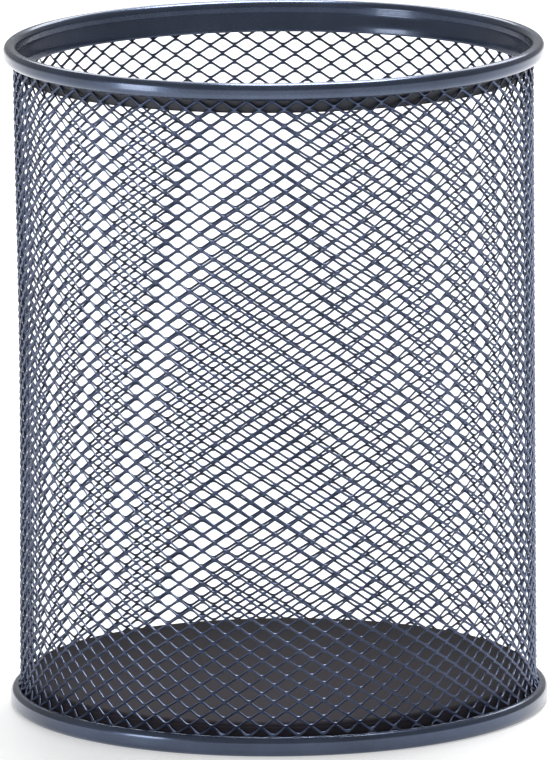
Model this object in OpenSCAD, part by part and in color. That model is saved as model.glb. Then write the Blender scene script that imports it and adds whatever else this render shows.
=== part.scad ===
// Round pen holder cup made of expanded steel mesh.
//
// Three pieces, as they come off the tools:
//   mesh_sleeve  expanded mesh rolled into a tube, both edges bent outwards
//   top_rim      steel strip curled over the mesh's upper edge
//   base_pan     pressed dish whose rolled edge holds the mesh's lower edge
// Origin on the table, at the middle of the base. +Z up, millimetres.

/* [Cup] */
// Outside diameter over the rolled beads
cup_d = 80; // [70:0.5:110]
// Overall height, from the table to the top of the rim
cup_h = 99.5; // [60:0.5:140]

/* [Steel] */
// Thickness of the sheet in the rim and in the base pan
sheet_t = 0.4; // [0.3:0.05:0.5]
// Thickness of the expanded mesh across its tilted strands
mesh_t = 0.75; // [0.5:0.05:0.8]
// Clearance left between the mesh and the sheet that holds it
fit_gap = 0.04; // [0.02:0.01:0.1]

/* [Rolled beads] */
// Width of a bead, measured along the radius
bead_w = 2; // [1.9:0.05:2.4]
// How far a bead stands out beyond the mesh
bead_proud = 1.55; // [1.3:0.05:1.7]
// Height of the bead on the top rim
top_bead_h = 2.6; // [2.4:0.1:3.4]
// Height of the bead round the base
base_bead_h = 3; // [2.4:0.1:3.4]
// Width of the flat land that the cup stands on
land_w = 0.8; // [0.4:0.1:1]

/* [Top rim] */
// Depth of the collar inside the mesh, from the top of the rim
collar_h = 4.45; // [4:0.05:8]

/* [Base pan] */
// Height of the floor's upper face above the table
floor_h = 4.7; // [4.7:0.05:8]
// Outer radius of the fold between the floor and the skirt
fold_r = 0.8; // [0.6:0.05:0.8]

/* [Hidden] */
$fn = 180;

paint = [0.24, 0.27, 0.34];
paint_dark = [0.20, 0.21, 0.25];
eps = 0.01;

// Radii, from the outside inwards
cup_r = cup_d / 2;
bead_r = bead_w / 2;
bead_mid = cup_r - bead_r;
bead_ri = cup_r - bead_w;
sleeve_ro = cup_r - bead_proud;
sleeve_ri = sleeve_ro - mesh_t;
collar_ro = sleeve_ri - fit_gap;
collar_ri = collar_ro - sheet_t;
tuck_ri = bead_ri + sheet_t + fit_gap;

// Below a bead, the wall steps inwards to the collar over this stretch
step_top = 0.7;
step_foot = 0.5;
// The mesh's bent edge runs this far up into the hollow of a bead
tuck_h = 0.5;
// Drop of the base bead's round bottom that leaves the flat land
land_cut = bead_r - sqrt(bead_r * bead_r - land_w * land_w / 4);

// Section of a bead: two half circles with a straight stretch between.
// Its crest is at y = 0, and it hangs down from there.
module bead_outline(bead_h, inset = 0) {
    r = bead_r - inset;
    drop = bead_h - bead_w;
    translate([bead_mid, -bead_r]) circle(r);
    translate([bead_mid, -bead_r - drop]) circle(r);
    translate([bead_mid - r, -bead_r - drop]) square([2 * r, drop]);
}

// The wall inside the mesh: down the bead's inner side, in along the
// step, and straight down as the collar, as far as wall_h below the crest.
module wall_outline(bead_h, wall_h) {
    step_y = -bead_h + step_top;
    foot_y = -bead_h - step_foot;
    polygon([
        [bead_ri, -bead_r],
        [bead_ri, step_y],
        [collar_ri, foot_y],
        [collar_ri, -wall_h],
        [collar_ro, -wall_h],
        [collar_ro, foot_y],
        [bead_ri + sheet_t, step_y],
        [bead_ri + sheet_t, -bead_r]
    ]);
}

// Path of the mesh's inner face at an edge, from the straight wall, out
// along the step and up into the bead. y is measured from the crest.
function edge_path(bead_h) = [
    [sleeve_ri, -bead_h - step_foot],
    [tuck_ri, -bead_h + step_top],
    [tuck_ri, -bead_h + step_top + tuck_h]
];

// Closed outline between a path and the same path moved outwards
function thicken(path, width) = concat(
    path,
    [for (i = [len(path) - 1:-1:0]) path[i] + [width, 0]]
);

// Space that the curl leaves free for the mesh, with clearance all round
module mesh_slot(bead_h, gap) {
    path = edge_path(bead_h);
    low = [path[0][0], path[0][1] - 1];
    high = path[2] + [0, gap];
    slot = concat([low], path, [high]);
    translate([-gap, 0]) polygon(thicken(slot, mesh_t + 2 * gap));
}

// One edge rolled from sheet: a hollow bead, open where the mesh enters,
// and the wall that backs the mesh.
module rolled_edge(bead_h, wall_h) {
    difference() {
        bead_outline(bead_h);
        bead_outline(bead_h, sheet_t);
        mesh_slot(bead_h, fit_gap);
    }
    wall_outline(bead_h, wall_h);
}

// Turns a section that hangs from the rim's crest over, for the base
module at_base() {
    translate([0, -land_cut]) mirror([0, 1]) children();
}

// Floor of the pan, with the fold that joins it to the skirt
module floor_outline() {
    fold_x = collar_ro - fold_r;
    fold_y = floor_h - fold_r;
    translate([0, floor_h - sheet_t]) square([fold_x + eps, sheet_t]);
    intersection() {
        difference() {
            translate([fold_x, fold_y]) circle(fold_r);
            translate([fold_x, fold_y]) circle(fold_r - sheet_t);
        }
        translate([fold_x, fold_y]) square(fold_r);
    }
}

// Expanded mesh, drawn as one shell of the mesh's overall thickness
module mesh_sleeve() {
    rim_edge = edge_path(top_bead_h);
    base_edge = edge_path(base_bead_h);
    inner = concat(
        [for (i = [2:-1:0]) [base_edge[i][0], -land_cut - base_edge[i][1]]],
        [for (p = rim_edge) [p[0], cup_h + p[1]]]
    );
    color(paint)
    rotate_extrude() polygon(thicken(inner, mesh_t));
}

// Rim strip: collar inside the mesh, curl over its upper edge
module top_rim() {
    color(paint)
    rotate_extrude() translate([0, cup_h]) rolled_edge(top_bead_h, collar_h);
}

// Base pan: raised floor, skirt inside the mesh, bead below its edge
module base_pan() {
    skirt_h = floor_h - fold_r + land_cut + eps;
    color(paint_dark)
    rotate_extrude() {
        intersection() {
            at_base() rolled_edge(base_bead_h, skirt_h);
            square([cup_d, cup_h]);
        }
        floor_outline();
    }
}

mesh_sleeve();
top_rim();
base_pan();
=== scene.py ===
# %% [markdown]
# # A pen cup of expanded steel mesh
#
# The real cup is three pieces of thin steel. A strip of expanded mesh is rolled into a tube. A
# narrow strip is curled over the tube's upper edge as a rim. A pressed dish closes the bottom, and
# its rolled edge holds the mesh. Nothing moves.
#
# The CAD model fixes every size. This lesson draws the same three pieces again with the detail
# that a plain shell leaves out: every opening of the mesh, the curl of each rolled edge, and the
# lacquer. Each piece is a surface worked out with numpy and handed to Blender in one go.

# %% The frame
import math

import bpy
import numpy as np
from mathutils import Matrix, Vector


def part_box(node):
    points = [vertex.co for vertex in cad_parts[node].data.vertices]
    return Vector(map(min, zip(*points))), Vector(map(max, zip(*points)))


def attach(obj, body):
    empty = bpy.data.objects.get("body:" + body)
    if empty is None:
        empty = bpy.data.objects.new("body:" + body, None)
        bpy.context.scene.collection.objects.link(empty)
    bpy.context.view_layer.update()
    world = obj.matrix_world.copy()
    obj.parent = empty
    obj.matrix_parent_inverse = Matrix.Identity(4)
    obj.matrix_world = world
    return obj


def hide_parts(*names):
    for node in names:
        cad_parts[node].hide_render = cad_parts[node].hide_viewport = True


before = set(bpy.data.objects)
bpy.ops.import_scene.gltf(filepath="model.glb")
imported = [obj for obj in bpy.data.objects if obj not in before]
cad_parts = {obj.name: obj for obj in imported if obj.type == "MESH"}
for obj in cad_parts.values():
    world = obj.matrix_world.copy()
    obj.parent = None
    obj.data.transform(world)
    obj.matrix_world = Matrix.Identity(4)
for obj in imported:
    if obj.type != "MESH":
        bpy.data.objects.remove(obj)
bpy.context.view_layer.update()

# %% [markdown]
# ## Sizes
#
# Everything is in metres. The lengths that the CAD model fixes are read from its boxes: the cup's
# radius, its height, the reach of the mesh and the height of the pan's floor. The few that a box
# cannot tell, such as the thickness of the sheet, are named here once.

# %% Sizes of the cup
MM = 0.001
rim_low, rim_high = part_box("top_rim")
pan_low, pan_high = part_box("base_pan")
mesh_low, mesh_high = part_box("mesh_sleeve")

cup_radius = rim_high.x
cup_top = rim_high.z
pan_floor = pan_high.z
collar_foot = rim_low.z
SHEET = 0.4 * MM
BEAD_RADIUS = 1.0 * MM
TOP_BEAD_HEIGHT = 2.6 * MM
BASE_BEAD_HEIGHT = 3.0 * MM
BASE_BEAD_SINK = 0.083 * MM
bead_mid = cup_radius - BEAD_RADIUS
collar_mid = cup_radius - 2.54 * MM
mesh_mid = cup_radius - 1.86 * MM
print("cup radius", round(cup_radius, 4), "height", round(cup_top, 4), "floor at", round(pan_floor, 4))

# %% [markdown]
# ## The camera
#
# Seen from far away through a long lens, the sides of a small cup stay parallel. The camera stands
# 1.8 m from the cup and 0.38 m above the table, and looks down by 10.7 degrees. It is turned by half
# a degree about its own axis, as a hand-levelled tripod often is. Its three axes are written out,
# and they become the columns of its matrix.

# %% The camera
CAMERA_DISTANCE = 1.8
CAMERA_HEIGHT_ANGLE = math.radians(10.647)
LOOK_DOWN = math.radians(10.694)
CAMERA_ROLL = math.radians(-0.491)
CAMERA_ASIDE = -0.254 * MM
AIM_HEIGHT = 50 * MM
LENS = 574.7
SENSOR_WIDTH = 36

forward = Vector((0, math.cos(LOOK_DOWN), -math.sin(LOOK_DOWN)))
level = Vector((1, 0, 0))
upright = Vector((0, math.sin(LOOK_DOWN), math.cos(LOOK_DOWN)))
right = level * math.cos(CAMERA_ROLL) + upright * math.sin(CAMERA_ROLL)
up = upright * math.cos(CAMERA_ROLL) - level * math.sin(CAMERA_ROLL)
camera_axes = Matrix((right, up, -forward)).transposed()
stand = Vector((
    CAMERA_ASIDE,
    -CAMERA_DISTANCE * math.cos(CAMERA_HEIGHT_ANGLE),
    AIM_HEIGHT + CAMERA_DISTANCE * math.sin(CAMERA_HEIGHT_ANGLE),
))

camera_data = bpy.data.cameras.new("camera")
camera_data.lens = LENS
camera_data.sensor_width = SENSOR_WIDTH
camera_data.clip_end = 200
camera = bpy.data.objects.new("camera", camera_data)
camera.matrix_world = Matrix.Translation(stand) @ camera_axes.to_4x4()
bpy.context.scene.collection.objects.link(camera)
bpy.context.scene.camera = camera
print("camera stands at", [round(v, 3) for v in stand])

# %% [markdown]
# ## From arrays to Blender
#
# Every piece below ends as an array of points and arrays of faces. One helper turns these into
# a mesh. It first drops the points that no face uses, because a surface that is cut out of a
# regular grid leaves some behind. Edges sharper than a set angle stay crisp and the rest is shaded
# smooth, as on a thin lacquered sheet.

# %% Helper: arrays to a piece
def volume(mesh):
    """Space inside a closed mesh: a sixth of the sum of its corner triple products.

    It comes out negative where the faces point inwards, so it also tells that they are right.
    """
    mesh.calc_loop_triangles()
    corners = np.zeros(len(mesh.loop_triangles) * 3, np.int32)
    mesh.loop_triangles.foreach_get("vertices", corners)
    places = np.zeros(len(mesh.vertices) * 3, np.float32)
    mesh.vertices.foreach_get("co", places)
    a, b, c = places.reshape(-1, 3).astype(float)[corners.reshape(-1, 3).T]
    return (a * np.cross(b, c)).sum() / 6


def make_piece(name, points, faces, materials, crisp=40, finish=None):
    """A mesh object from points (n, 3) and faces (a list of index arrays, one per face size).

    finish, where given, picks one of the materials from the faces' middles and directions.
    """
    used = np.unique(np.concatenate([f.ravel() for f in faces]))
    new_index = np.zeros(len(points), np.int64)
    new_index[used] = np.arange(len(used))
    corners = np.concatenate([new_index[f].ravel() for f in faces])
    sizes = np.concatenate([np.full(len(f), f.shape[1]) for f in faces])
    starts = np.concatenate([[0], np.cumsum(sizes)[:-1]])
    mesh = bpy.data.meshes.new(name)
    mesh.vertices.add(len(used))
    mesh.vertices.foreach_set("co", points[used].astype(np.float32).ravel())
    mesh.loops.add(len(corners))
    mesh.loops.foreach_set("vertex_index", corners.astype(np.int32))
    mesh.polygons.add(len(sizes))
    mesh.polygons.foreach_set("loop_start", starts.astype(np.int32))
    mesh.update(calc_edges=True)
    mesh.validate()
    mesh.shade_smooth()
    mesh.set_sharp_from_angle(angle=math.radians(crisp))
    for material in materials:
        mesh.materials.append(material)
    if finish is not None:
        middles = np.zeros(len(mesh.polygons) * 3, np.float32)
        facing = np.zeros(len(mesh.polygons) * 3, np.float32)
        mesh.polygons.foreach_get("center", middles)
        mesh.polygons.foreach_get("normal", facing)
        choice = finish(middles.reshape(-1, 3), facing.reshape(-1, 3))
        mesh.polygons.foreach_set("material_index", choice.astype(np.int32))
    piece = bpy.data.objects.new(name, mesh)
    bpy.context.scene.collection.objects.link(piece)
    print(name, "triangles", int((sizes - 2).sum()), "volume", round(volume(mesh) / MM ** 3, 1), "mm3")
    return piece

# %% [markdown]
# ## The lacquer
#
# The steel is sprayed with a thin slate-blue lacquer that has a little aluminium in it, and baked.
# Up close it has three things that a flat colour lacks. The film is slightly wavy, like orange
# peel, about a millimetre from crest to crest. Fine specks of metal, about a tenth of a millimetre
# across, catch the light. The film is also thicker in some places than in others, so its colour
# and gloss shift a little, in patches about a centimetre across.
#
# All three patterns read the Object coordinates, so they sit still on the steel. The film's gloss
# is the shader's own coat, set on its socket.
#
# Behind the mesh, the outer faces of the collar and the skirt get a dark, dull colour. It is painted
# shade for the narrow gap that the mesh keeps in shadow. The pan's floor gets a matt, darker colour.
# The cells further down pick those faces out.

# %% Lacquer
PATCHES_PER_METRE = 90
SPECKS_PER_METRE = 9000
PEEL_PER_METRE = 1300
LACQUER_IOR = 1.5
COAT_ROUGHNESS = 0.1
ROUGHNESS_SPREAD = 0.06
DULLEST_SPECK = 0.82
BRIGHTEST_SPECK = 1.5


def lacquer(name, dark, light, roughness, metal, coat, peel_height, sheen=0.5):
    """Baked metallic lacquer: patchy colour between two shades, fine specks, orange-peel bump."""
    material = bpy.data.materials.new(name)
    material.use_nodes = True
    tree = material.node_tree
    nodes, links = tree.nodes, tree.links
    shader = nodes["Principled BSDF"]
    shader.inputs["Metallic"].default_value = metal
    shader.inputs["Coat Weight"].default_value = coat
    shader.inputs["Coat Roughness"].default_value = COAT_ROUGHNESS
    shader.inputs["IOR"].default_value = LACQUER_IOR
    shader.inputs["Specular IOR Level"].default_value = sheen
    place = nodes.new("ShaderNodeTexCoord")

    def noise(scale, detail):
        pattern = nodes.new("ShaderNodeTexNoise")
        pattern.inputs["Scale"].default_value = scale
        pattern.inputs["Detail"].default_value = detail
        links.new(place.outputs["Object"], pattern.inputs["Vector"])
        return pattern.outputs["Fac"]

    patches = noise(PATCHES_PER_METRE, 3)
    specks = noise(SPECKS_PER_METRE, 1)
    peel = noise(PEEL_PER_METRE, 2)

    shade = nodes.new("ShaderNodeValToRGB")
    shade.color_ramp.elements[0].position = 0.3
    shade.color_ramp.elements[0].color = (*dark, 1)
    shade.color_ramp.elements[1].position = 0.7
    shade.color_ramp.elements[1].color = (*light, 1)
    links.new(patches, shade.inputs["Fac"])

    glint = nodes.new("ShaderNodeMapRange")
    glint.inputs["From Min"].default_value = 0.35
    glint.inputs["From Max"].default_value = 0.75
    glint.inputs["To Min"].default_value = DULLEST_SPECK
    glint.inputs["To Max"].default_value = BRIGHTEST_SPECK
    links.new(specks, glint.inputs["Value"])
    speckled = nodes.new("ShaderNodeVectorMath")
    speckled.operation = "SCALE"
    links.new(shade.outputs["Color"], speckled.inputs[0])
    links.new(glint.outputs["Result"], speckled.inputs["Scale"])
    links.new(speckled.outputs["Vector"], shader.inputs["Base Color"])

    haze = nodes.new("ShaderNodeMapRange")
    haze.inputs["To Min"].default_value = roughness - ROUGHNESS_SPREAD
    haze.inputs["To Max"].default_value = roughness + ROUGHNESS_SPREAD
    links.new(patches, haze.inputs["Value"])
    links.new(haze.outputs["Result"], shader.inputs["Roughness"])

    bump = nodes.new("ShaderNodeBump")
    bump.inputs["Strength"].default_value = 1
    bump.inputs["Distance"].default_value = peel_height
    links.new(peel, bump.inputs["Height"])
    links.new(bump.outputs["Normal"], shader.inputs["Normal"])
    links.new(bump.outputs["Normal"], shader.inputs["Coat Normal"])
    print(name, "ready")
    return material


SLATE_DARK = (0.048, 0.066, 0.110)
SLATE_LIGHT = (0.073, 0.098, 0.162)
# Painted shade: the dark, dull colour of the collar's outer face behind the mesh.
COLLAR_SHADE_DARK = (0.028, 0.031, 0.040)
COLLAR_SHADE_LIGHT = (0.038, 0.042, 0.054)
MESH_DARK = (0.048, 0.066, 0.124)
MESH_LIGHT = (0.078, 0.104, 0.186)
# The pan floor's darker matt colour, and painted shade on the skirt's outer face behind the mesh.
FLOOR_AND_SHADE_DARK = (0.013, 0.011, 0.016)
FLOOR_AND_SHADE_LIGHT = (0.019, 0.016, 0.022)
mesh_lacquer = lacquer(
    "mesh_lacquer", MESH_DARK, MESH_LIGHT,
    roughness=0.42, metal=0.8, coat=0.25, peel_height=0.004 * MM,
)
rim_lacquer = lacquer(
    "rim_lacquer", SLATE_DARK, SLATE_LIGHT,
    roughness=0.25, metal=0.85, coat=0.6, peel_height=0.003 * MM,
)
pan_lacquer = lacquer(
    "pan_lacquer", SLATE_DARK, SLATE_LIGHT,
    roughness=0.25, metal=0.85, coat=0.6, peel_height=0.003 * MM,
)
# Painted shade for the collar's outer face behind the mesh.
collar_shade_lacquer = lacquer(
    "collar_shade_lacquer", COLLAR_SHADE_DARK, COLLAR_SHADE_LIGHT,
    roughness=0.6, metal=0.2, coat=0.0, peel_height=0.006 * MM,
)
# The pan floor's darker colour, and painted shade for the skirt behind the mesh.
floor_and_skirt_shade_lacquer = lacquer(
    "floor_and_skirt_shade_lacquer", FLOOR_AND_SHADE_DARK, FLOOR_AND_SHADE_LIGHT,
    roughness=0.8, metal=0.0, coat=0.0, peel_height=0.01 * MM, sheen=0.22,
)

# %% [markdown]
# ## The mesh
#
# Expanded mesh starts as a plain strip of steel. A toothed knife cuts a row of slits and pushes
# the slit edge down in one stroke, so that each slit opens into a diamond. Nothing is woven or
# welded: every strand is a narrow ribbon that the knife has bent up and down, and where two rows
# meet, in the bonds, the steel is still whole. Because the knife pushes, each ribbon leans by
# about 30 degrees. That lean is why the mesh looks open from one side and closed from another.
#
# One row is a zigzag ribbon with the section of a small bar, eight corners round. Its path has
# eight points per cell: two on the lower bond, two on the upper bond, and four where the strand
# bends. A bond is made by leaving out the facing sides of two rows and bridging the gap. The rows
# climb by four rows in one turn, because the strip was rolled a little askew.
#
# The mesh is cut into five bands of rows, because all of it would be too much for one piece. Each
# band is one closed skin. Where two bands meet, their strands touch without a bridge.

# %% The openings of the mesh
CELLS_ROUND = 66
ROW_PITCH = 1.233 * MM
ROWS_PER_TURN = 4
STRAND_WIDTH = 0.39 * MM
STRAND_THICK = 0.24 * MM
STRAND_CHAMFER = 0.04 * MM
STRAND_LEAN = math.radians(30)
PATH_ALONG = np.array([-0.11, -0.045, 0.045, 0.11, 0.39, 0.455, 0.545, 0.61])
PATH_SWING = np.array([-0.77, -1.0, -1.0, -0.77, 0.77, 1.0, 1.0, 0.77])
MIDDLE_ROW_HEIGHT = 50 * MM
BANDS = 5
SEAM_CELL = -18
LAP_CELLS = 3
LAP_EASE_CELLS = 4
LAP_STEP = 0.3 * MM
print("cell", round(2 * math.pi * mesh_mid / CELLS_ROUND / MM, 2), "by", round(2 * ROW_PITCH / MM, 2), "mm")

# %% [markdown]
# The tube is not a perfect cylinder. Both edges bend outwards into the hollow beads, the left side
# is drawn in by 0.4 mm at mid height, and at the lap the two ends of the strip lie over each other.
# One function gives the extra radius of the mesh at any place on the tube. Two more say how far the
# rows and columns stray, because rolling stretches the strip unevenly: rows by up to 0.9 mm in
# height, columns by up to 1.8 mm round the tube. That decides where the front and the back of the
# mesh line up, and so where the dark and light chevrons appear when one looks through both.

# %% The shape of the tube
FLARE = 0.74 * MM
FLARE_LENGTH = 1.5 * MM
TOP_FLARE_DEPTH = 3.4 * MM
BASE_FLARE_HEIGHT = 3.6 * MM
DRAWN_IN = 0.42 * MM
BOW_REACH = 40 * MM


def ease(x):
    """Smooth step: 0 below 0, 1 above 1, with a flat start and end between them."""
    x = np.clip(x, 0, 1)
    return x * x * (3 - 2 * x)


def tube_bulge(turn, height):
    """Extra radius of the tube: flared edges, plus a shallow waist on the left side."""
    top_flare = ease((height - (cup_top - TOP_FLARE_DEPTH)) / FLARE_LENGTH)
    base_flare = ease((BASE_FLARE_HEIGHT - height) / FLARE_LENGTH)
    share = np.clip(height / cup_top, 0, 1)
    waist = np.sin(np.pi * share) ** 2 * ease(0.5 - 0.5 * np.sin(turn) - 0.1)
    return FLARE * (top_flare + base_flare) - DRAWN_IN * waist


def stray_up(turn, share):
    """How far the rows stray in height: slow waves round the tube, and a bow from foot to rim."""
    round_tube = -0.20 - 0.21 * np.cos(turn) - 0.08 * np.sin(turn) - 0.155 * np.cos(2 * turn)
    bow = 0.09 * share * np.cos(turn) + (0.10 - 0.28 * np.cos(turn)) * share ** 2
    return MM * (round_tube + bow)


def stray_round(turn, share):
    """How far the columns stray along the tube's girth: slow waves, and a bow from foot to rim."""
    waves = 1.29 + 0.57 * np.cos(turn) - 0.24 * np.sin(turn)
    waves = waves - 0.095 * np.cos(2 * turn) + 0.10 * np.sin(2 * turn)
    bow = (0.04 + 0.19 * np.cos(turn)) * share - (0.23 + 0.21 * np.cos(turn)) * share ** 2
    return MM * (waves + bow)


# %% [markdown]
# The corners of the bar are placed first, then the rows are laid out as one array with the axes
# row, cell, path point and corner. At the lap one end of the strip moves inwards and the other
# outwards, each over four cells.

# %% The points of the mesh
def bar_corners():
    """Eight corners of the ribbon's section: along its width, and along its thickness."""
    w, t, c = STRAND_WIDTH / 2, STRAND_THICK / 2, STRAND_CHAMFER
    across = np.array([-w + c, w - c, w, w, w - c, -w + c, -w, -w])
    out = np.array([t, t, t - c, -t + c, -t, -t, -t + c, t - c])
    return across, out


def mesh_points(rows, cells):
    """Place = row height + swing up and down, radius = middle + swing in and out, leaning section."""
    across, out = bar_corners()
    lift = (ROW_PITCH - STRAND_WIDTH * math.cos(STRAND_LEAN)) / 2
    swing_in = -STRAND_WIDTH * math.sin(STRAND_LEAN) / 2
    row = rows[:, None, None, None]
    cell = cells[None, :, None, None]
    along = cell + 0.5 * (row % 2) + PATH_ALONG[None, None, :, None]
    swing = PATH_SWING[None, None, :, None]
    section_up = across * math.cos(STRAND_LEAN) - out * math.sin(STRAND_LEAN)
    section_out = across * math.sin(STRAND_LEAN) + out * math.cos(STRAND_LEAN)
    climb = ROWS_PER_TURN * ROW_PITCH * along / CELLS_ROUND
    height = MIDDLE_ROW_HEIGHT + ROW_PITCH * row + climb + lift * swing + section_up
    radius = mesh_mid + swing_in * swing + section_out
    turn = 2 * math.pi * along / CELLS_ROUND + 0 * radius
    share = (height - MIDDLE_ROW_HEIGHT) / BOW_REACH
    height, turn = height + stray_up(turn, share), turn + stray_round(turn, share) / mesh_mid
    late_end = ease((along - SEAM_CELL - CELLS_ROUND) / LAP_EASE_CELLS + 1)
    early_end = ease(1 - (along - SEAM_CELL) / LAP_EASE_CELLS)
    radius = radius + tube_bulge(turn, height) - LAP_STEP * (late_end - early_end)
    return np.stack([radius * np.sin(turn), -radius * np.cos(turn), height], -1)


# %% [markdown]
# Faces come from index arithmetic. Every stretch of the path has eight side faces. Where a bond is
# whole, three of them are left out on each row, two bridges and four small triangles close the
# gap, and the lower row's points stand in for the upper row's where the two would face each other.
#
# The rows climb, so both edges of the strip cut through them inside the beads. One array says which
# cells are there, and two more say which of those are bonded to the row above and to the row below.

# %% The faces of the mesh
EDGE_MARGIN = 0.7 * MM
LOWER_BOND = 1
UPPER_BOND = 5
UPPER_SIDES = (1, 2, 3)
LOWER_SIDES = (5, 6, 7)


def mesh_band(name, first_row, last_row):
    """A band of rows as one closed skin, with bonds between neighbours."""
    rows = np.arange(first_row, last_row + 1)
    cells = SEAM_CELL + np.arange(CELLS_ROUND + LAP_CELLS)
    points = mesh_points(rows, cells)
    middle = points[:, :, :, :, 2].mean(axis=(2, 3))
    there = (middle > mesh_low.z + EDGE_MARGIN) & (middle < mesh_high.z - EDGE_MARGIN)
    n_rows, n_cells, n_path, n_corners = points.shape[:4]
    index = np.arange(n_rows * n_cells * n_path * n_corners).reshape(points.shape[:4])

    above = np.minimum(np.arange(n_rows) + 1, n_rows - 1)[:, None]
    odd = (rows % 2)[:, None]
    partner = np.minimum(np.arange(n_cells)[None, :] + odd, n_cells - 1)
    bonded = there & there[above, partner]
    bonded[-1, :] = False
    bonded &= np.arange(n_cells)[None, :] + odd < n_cells
    held = np.zeros_like(there)
    i, j = np.nonzero(bonded)
    up_i, up_j = i + 1, partner[i, j]
    held[up_i, up_j] = True

    shared = index.copy()
    for step in (0, 1):
        for low_s, high_s in ((2, 7), (3, 6)):
            shared[up_i, up_j, LOWER_BOND + step, high_s] = index[i, j, UPPER_BOND + step, low_s]

    follows = np.zeros_like(there)
    follows[:, :-1] = there[:, 1:] & there[:, :-1]
    leads = np.zeros_like(there)
    leads[:, 1:] = follows[:, :-1]
    quads = []
    for k in range(n_path):
        if k < n_path - 1:
            here, ahead = shared[:, :, k], shared[:, :, k + 1]
            keep = there
        else:
            here, ahead = shared[:, :-1, k], shared[:, 1:, 0]
            keep = follows[:, :-1]
        for s in range(n_corners):
            n = (s + 1) % n_corners
            use = keep
            if k == UPPER_BOND and s in UPPER_SIDES:
                use = keep & ~bonded
            if k == LOWER_BOND and s in LOWER_SIDES:
                use = keep & ~held
            quad = np.stack([here[..., s], here[..., n], ahead[..., n], ahead[..., s]], -1)
            quads.append(quad[use])

    low = shared[i, j][:, UPPER_BOND:]
    high = shared[up_i, up_j][:, LOWER_BOND:]
    quads.append(np.stack([low[:, 0, 1], high[:, 0, 0], high[:, 1, 0], low[:, 1, 1]], -1))
    quads.append(np.stack([low[:, 1, 4], high[:, 1, 5], high[:, 0, 5], low[:, 0, 4]], -1))
    triangles = np.concatenate([
        np.stack([low[:, 0, 1], low[:, 0, 2], high[:, 0, 0]], -1),
        np.stack([low[:, 1, 2], low[:, 1, 1], high[:, 1, 0]], -1),
        np.stack([low[:, 0, 3], low[:, 0, 4], high[:, 0, 5]], -1),
        np.stack([low[:, 1, 4], low[:, 1, 3], high[:, 1, 5]], -1),
    ])
    starts = shared[there & ~leads][:, 0, ::-1]
    ends = shared[there & ~follows][:, -1, :]
    faces = [np.concatenate(quads), triangles, np.concatenate([starts, ends])]
    faces = [corners[:, ::-1] for corners in faces]
    return make_piece(name, points.reshape(-1, 3), faces, [mesh_lacquer])


half_rows = int((mesh_high.z - MIDDLE_ROW_HEIGHT) / ROW_PITCH) + ROWS_PER_TURN
edges = np.linspace(-half_rows, half_rows, BANDS + 1).astype(int)
mesh_pieces = []
for band in range(BANDS):
    mesh_pieces.append(mesh_band("mesh_rows_%d" % (band + 1), edges[band], edges[band + 1] - 1))

# %% [markdown]
# ## Turned sections
#
# The rim and the pan are round, so each is a section carried round the cup's axis. The section
# itself starts as the middle line of the sheet. Moving that line half a thickness to each side
# gives the two faces, and a half circle rounds off each cut edge.

# %% Helpers: arcs, soft steps and turned surfaces
SHEET_CRISP = 50


def arc(middle, radius, start, end, count):
    """Points on a circle in the section plane, from one angle to another, in degrees."""
    angle = np.radians(np.linspace(start, end, count))
    return np.stack([middle[0] + radius * np.cos(angle), middle[1] + radius * np.sin(angle)], -1)


def eased_run(start, end, count):
    """From start to end: height changes evenly, radius along a soft step, ends left out."""
    share = np.linspace(0, 1, count + 2)[1:-1]
    return np.stack([
        start[0] + (end[0] - start[0]) * (ease(share) + share) / 2,
        start[1] + (end[1] - start[1]) * share,
    ], -1)


def side_of(line):
    """Unit vectors square to a line of points, to its left."""
    along = np.gradient(line, axis=0)
    along /= np.linalg.norm(along, axis=1)[:, None]
    return np.stack([-along[:, 1], along[:, 0]], -1)


def turned(name, section, closed, wobble, materials, finish=None, steps=360):
    """Carries a section (radius, height) round the axis; open ends sit on the axis as poles."""
    turn = np.linspace(0, 2 * math.pi, steps, endpoint=False)[:, None]
    radius, height = wobble(section[None, :, 0], section[None, :, 1], turn)
    points = np.stack([radius * np.sin(turn), -radius * np.cos(turn), height], -1)
    index = np.arange(points.shape[0] * points.shape[1]).reshape(points.shape[:2])
    ahead = np.roll(index, -1, axis=0)
    if closed:
        here_next, ahead_next = np.roll(index, -1, axis=1), np.roll(ahead, -1, axis=1)
        quads = np.stack([index, here_next, ahead_next, ahead], -1).reshape(-1, 4)
        return make_piece(name, points.reshape(-1, 3), [quads], materials, SHEET_CRISP, finish)
    quads = np.stack([index[:, 1:-2], index[:, 2:-1], ahead[:, 2:-1], ahead[:, 1:-2]], -1)
    first = np.full(steps, index[0, 0])
    last = np.full(steps, index[0, -1])
    fans = np.concatenate([
        np.stack([first, index[:, 1], ahead[:, 1]], -1),
        np.stack([index[:, -2], last, ahead[:, -2]], -1),
    ])
    faces = [quads.reshape(-1, 4), fans]
    return make_piece(name, points.reshape(-1, 3), faces, materials, SHEET_CRISP, finish)

# %% [markdown]
# ## The rolled edges
#
# A rolled edge starts as the edge of a flat strip. Rollers curl it over, outwards and down, until
# it closes on the mesh and pinches it. The curl is hollow. On the inside of the cup the strip runs
# down past the mesh's edge, steps inwards by the thickness of the mesh and ends as a short collar.
#
# A roller never leaves a perfect ring. The wobble is a few slow waves, a few hundredths of a
# millimetre high, taller on the curl's free lower edge than on the collar.

# %% The section of a rolled edge
CURL_END = -102
STEP_START = 0.8 * MM
STEP_END = 1.3 * MM
STEP_CLEAR_OF_FOOT = 0.05 * MM
WALL_LEAN = 0.02 * MM
COLLAR_TOP_OUT = 0.1 * MM
COLLAR_FOOT_OUT = 0.02 * MM
CAP_POINTS = 5


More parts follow.
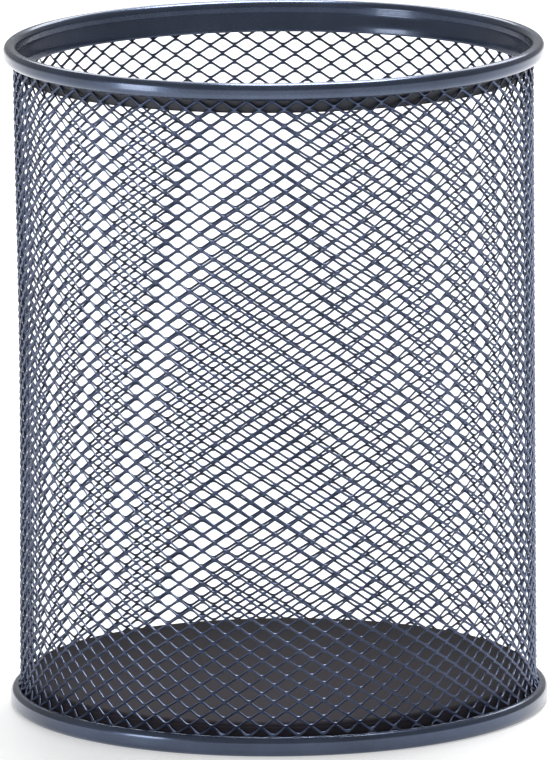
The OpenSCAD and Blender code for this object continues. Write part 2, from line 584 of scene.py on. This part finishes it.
def rolled_edge(bead_height, foot):
    """Middle line from the curl's free edge, round the bead and down to foot below the crest."""
    reach = BEAD_RADIUS - SHEET / 2
    upper = (bead_mid, -BEAD_RADIUS)
    lower = (bead_mid, -bead_height + BEAD_RADIUS)
    hem = arc(lower, reach, CURL_END, 0, 15)
    crown = arc(upper, reach, 0, 180, 25)
    wall_r = bead_mid - reach
    step_top = (wall_r - WALL_LEAN, -bead_height + STEP_START)
    step_end = max(-bead_height - STEP_END, foot + STEP_CLEAR_OF_FOOT)
    step_foot = (collar_mid + COLLAR_TOP_OUT, step_end)
    step = eased_run(step_top, step_foot, 9)
    collar = np.array([step_foot, (collar_mid + COLLAR_FOOT_OUT, foot)])
    return np.concatenate([hem, crown, [step_top], step, collar])


def round_cap(point, across):
    """Half circle round a cut edge, from one face of the sheet to the other."""
    angle = np.linspace(0, math.pi, CAP_POINTS + 2)[1:-1, None]
    ahead = np.array([across[1], -across[0]])
    return point + across * np.cos(angle) + ahead * np.sin(angle)


def sheet_section(line):
    """Closed outline round a middle line: one face, a half circle, the other face, a half circle."""
    side = side_of(line) * SHEET / 2
    end_cap = round_cap(line[-1], side[-1])
    start_cap = round_cap(line[0], -side[0])
    return np.concatenate([line + side, end_cap, (line - side)[::-1], start_cap])


def evened(line, count):
    """The same line with its points spaced evenly along it."""
    length = np.concatenate([[0], np.cumsum(np.linalg.norm(np.diff(line, axis=0), axis=1))])
    where = np.linspace(0, length[-1], count)
    return np.stack([np.interp(where, length, line[:, 0]), np.interp(where, length, line[:, 1])], -1)


def roller_waves(turn, seed, size):
    """A sum of slow waves round the ring, each with its own height and start."""
    pick = np.random.default_rng(seed)
    total = 0 * turn
    for waves in (3, 5, 8, 13, 21, 34):
        total = total + pick.normal() * np.sin(waves * turn + pick.uniform(0, 6.28)) / waves ** 0.5
    return size * total


# %% [markdown]
# ## The rim
#
# The rim's ring is that section, carried round. Its crest stays level, so that the cup's height is
# the CAD model's. The collar's outer side, which the mesh covers, gets a dark, dull colour. It is
# painted shade for the gap that the mesh keeps in shadow.

# %% The rim
RIM_WAVES = 0.022 * MM
WAVE_SEED = 3
DENT_SEED = 11
RIM_POINTS = 60
COVERED_INSET = 0.45 * MM
COLLAR_SHADE_INTO_CURL = 0.7 * MM


def rim_wobble(radius, height, turn):
    """The curl's lower outer part waves up and down and in and out; the crest stays level."""
    below = np.clip((cup_top - height) / TOP_BEAD_HEIGHT, 0, 1)
    outside = ease((radius - bead_mid) / BEAD_RADIUS + 0.5)
    inside = 1 - outside
    waves = roller_waves(turn, WAVE_SEED, RIM_WAVES)
    dents = roller_waves(turn, DENT_SEED, RIM_WAVES)
    radius = radius - np.abs(waves) * outside * below - dents * inside * below * 0.7
    height = height + dents * outside * below ** 2
    return radius, height


def behind_mesh(middles, facing, in_reach):
    """True on faces that look outwards behind the mesh, which the mesh keeps in shade; painted shade goes
    there.
    """
    radius = np.hypot(middles[:, 0], middles[:, 1])
    outwards = (middles[:, :2] * facing[:, :2]).sum(1) / radius
    return (outwards > 0.3) & (radius < bead_mid - COVERED_INSET) & in_reach


def collar_shade_on_rim(middles, facing):
    """1 on the collar's side that the mesh covers, where the painted shade goes, 0 elsewhere."""
    below_curl = middles[:, 2] < cup_top - TOP_BEAD_HEIGHT + COLLAR_SHADE_INTO_CURL
    return behind_mesh(middles, facing, below_curl)


rim_line = evened(rolled_edge(TOP_BEAD_HEIGHT, collar_foot - cup_top), RIM_POINTS)
rim_section = sheet_section(rim_line) + np.array([0, cup_top])
# The second finish is painted shade on the collar's side that the mesh covers.
rim_finish = [rim_lacquer, collar_shade_lacquer]
top_ring = turned("rolled_rim", rim_section, True, rim_wobble, rim_finish, collar_shade_on_rim)

# %% [markdown]
# ## The base pan
#
# The pan is pressed from one disc: a flat raised floor, a tight fold, a short skirt inside the
# mesh, and the same rolled edge as the rim, turned upside down. The cup stands on the bottom of
# that bead, which is pressed to a narrow flat land. The floor's upper face is 4.7 mm above the
# table. The pan's section is one open line from the middle of the floor's top face, round the whole
# edge, back to the middle of the underside. The skirt starts 0.07 mm higher than the fold ends, so
# the line doubles back a little there, behind the mesh.

# %% The base pan
FOLD_RADIUS = 0.6 * MM
SKIRT_REACH = 4.05 * MM
PAN_WAVES = 0.018 * MM
PAN_SEED = 5
SKIRT_SHADE_INTO_CURL = 1.1 * MM


def pan_line():
    """Middle line of the pan from its centre outwards, down the skirt and round the bead."""
    edge = rolled_edge(BASE_BEAD_HEIGHT, -SKIRT_REACH)[::-1]
    edge = np.stack([edge[:, 0], -edge[:, 1] - BASE_BEAD_SINK], -1)
    fold_r = collar_mid - FOLD_RADIUS
    level = pan_floor - SHEET / 2
    fold = arc((fold_r, level - FOLD_RADIUS), FOLD_RADIUS, 90, 0, 12)
    spokes = np.linspace(0, 1, 24, endpoint=False) * fold_r
    floor_run = np.stack([spokes, np.full_like(spokes, level)], -1)
    return np.concatenate([floor_run, fold, edge])


def pan_section():
    """Both faces of the pan, joined round the curl's free edge; the two ends lie on the axis."""
    line = pan_line()
    side = side_of(line) * SHEET / 2
    section = np.concatenate([line + side, round_cap(line[-1], side[-1]), (line - side)[::-1]])
    section[0, 0] = 0
    section[-1, 0] = 0
    section[:, 1] = np.maximum(section[:, 1], 0)
    return section


def pan_wobble(radius, height, turn):
    """The outer side of the bead waves a little; the land and the floor stay flat."""
    outside = ease((radius - bead_mid) / BEAD_RADIUS + 0.5)
    waves = roller_waves(turn, PAN_SEED, PAN_WAVES)
    lift = np.clip(height / BASE_BEAD_HEIGHT, 0, 1)
    radius = radius - np.abs(waves) * outside * lift
    height = height - np.abs(waves) * outside * lift
    return radius, height + 0 * turn


def floor_or_skirt_shade_on_pan(middles, facing):
    """1 on the floor inside the cup, which gets the darker colour, and on the skirt's side that the mesh
    covers, where the painted shade goes, 0 elsewhere.
    """
    radius = np.hypot(middles[:, 0], middles[:, 1])
    floor_face = (radius < collar_mid - FOLD_RADIUS / 2) & (middles[:, 2] > pan_floor - SHEET / 2)
    above_curl = middles[:, 2] > BASE_BEAD_HEIGHT - SKIRT_SHADE_INTO_CURL
    return floor_face | behind_mesh(middles, facing, above_curl)


# The second finish is the floor's darker colour and painted shade on the skirt's covered side.
pan_finish = [pan_lacquer, floor_and_skirt_shade_lacquer]
base_dish = turned("pressed_pan", pan_section(), False, pan_wobble, pan_finish, floor_or_skirt_shade_on_pan)

# %% [markdown]
# ## The table
#
# The cup stands on a pale, even table, wide enough that its edge is far behind the cup. It glows a
# little, so that the light stays even right across it.

# %% The table
TABLE_HALF = 20.0
TABLE_GLOW = 0.45
TABLE_TONES = (0.69, 0.71)


def table_material():
    """Matt pale table top with a faint cloud of tone."""
    material = bpy.data.materials.new("pale_table")
    material.use_nodes = True
    nodes, links = material.node_tree.nodes, material.node_tree.links
    shader = nodes["Principled BSDF"]
    shader.inputs["Roughness"].default_value = 0.6
    shader.inputs["Emission Color"].default_value = (1, 1, 1, 1)
    shader.inputs["Emission Strength"].default_value = TABLE_GLOW
    place = nodes.new("ShaderNodeTexCoord")
    cloud = nodes.new("ShaderNodeTexNoise")
    cloud.inputs["Scale"].default_value = 3
    tone = nodes.new("ShaderNodeValToRGB")
    for stop, grey in zip(tone.color_ramp.elements, TABLE_TONES):
        stop.color = (grey, grey, grey, 1)
    links.new(place.outputs["Object"], cloud.inputs["Vector"])
    links.new(cloud.outputs["Fac"], tone.inputs["Fac"])
    links.new(tone.outputs["Color"], shader.inputs["Base Color"])
    return material


table_points = TABLE_HALF * np.array([(-1, -1, 0), (1, -1, 0), (1, 1, 0), (-1, 1, 0)])
table = make_piece("table_top", table_points, [np.array([[0, 1, 2, 3]])], [table_material()])

# %% [markdown]
# ## The light
#
# The light is that of a small product studio: one soft box high above, a little behind the cup and
# to the right, a small one low at the left front, and one over the far part of the table. The
# bright lines along the beads are reflections of these boxes. A pale sky fills the rest. The camera
# doesn't see the boxes themselves, from any angle.

# %% The light
SKY_STRENGTH = 0.3


def soft_box(name, place, target, width, length, glow):
    """A flat rectangular lamp that faces its target; glow is its brightness as seen."""
    data = bpy.data.lights.new(name, "AREA")
    data.shape = "RECTANGLE"
    data.size = width
    data.size_y = length
    data.energy = glow * math.pi * width * length
    lamp = bpy.data.objects.new(name, data)
    lamp.location = place
    lamp.rotation_euler = (Vector(target) - Vector(place)).to_track_quat("-Z", "Y").to_euler()
    lamp.visible_camera = False
    bpy.context.scene.collection.objects.link(lamp)
    return lamp


boxes = [
    soft_box("overhead_box", (0.13, 0.28, 1.0), (0.13, 0.28, 0), width=0.5, length=0.42, glow=17.0),
    soft_box("left_front_box", (-0.46, -0.29, 0.1), (0, 0, 0.1), width=0.16, length=0.2, glow=6.0),
    soft_box("back_box", (0.1, 0.95, 0.7), (0.1, 0.75, 0), width=1.0, length=0.5, glow=3.5),
]

world = bpy.data.worlds.new("studio")
world.use_nodes = True
world.node_tree.nodes["Background"].inputs["Color"].default_value = (1, 1, 1, 1)
world.node_tree.nodes["Background"].inputs["Strength"].default_value = SKY_STRENGTH
bpy.context.scene.world = world
bpy.context.scene.view_settings.view_transform = "Standard"
print("soft boxes:", ", ".join(box.name for box in boxes))

# %% [markdown]
# ## What stands for what
#
# Each finished piece rides on the cup's one body and stands for its CAD node, which stays hidden
# as the shape that things bump into.

# %% Handing over to the frame
for piece in mesh_pieces:
    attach(piece, "root")
    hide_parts("mesh_sleeve")
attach(top_ring, "root")
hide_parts("top_rim")
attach(base_dish, "root")
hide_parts("base_pan")
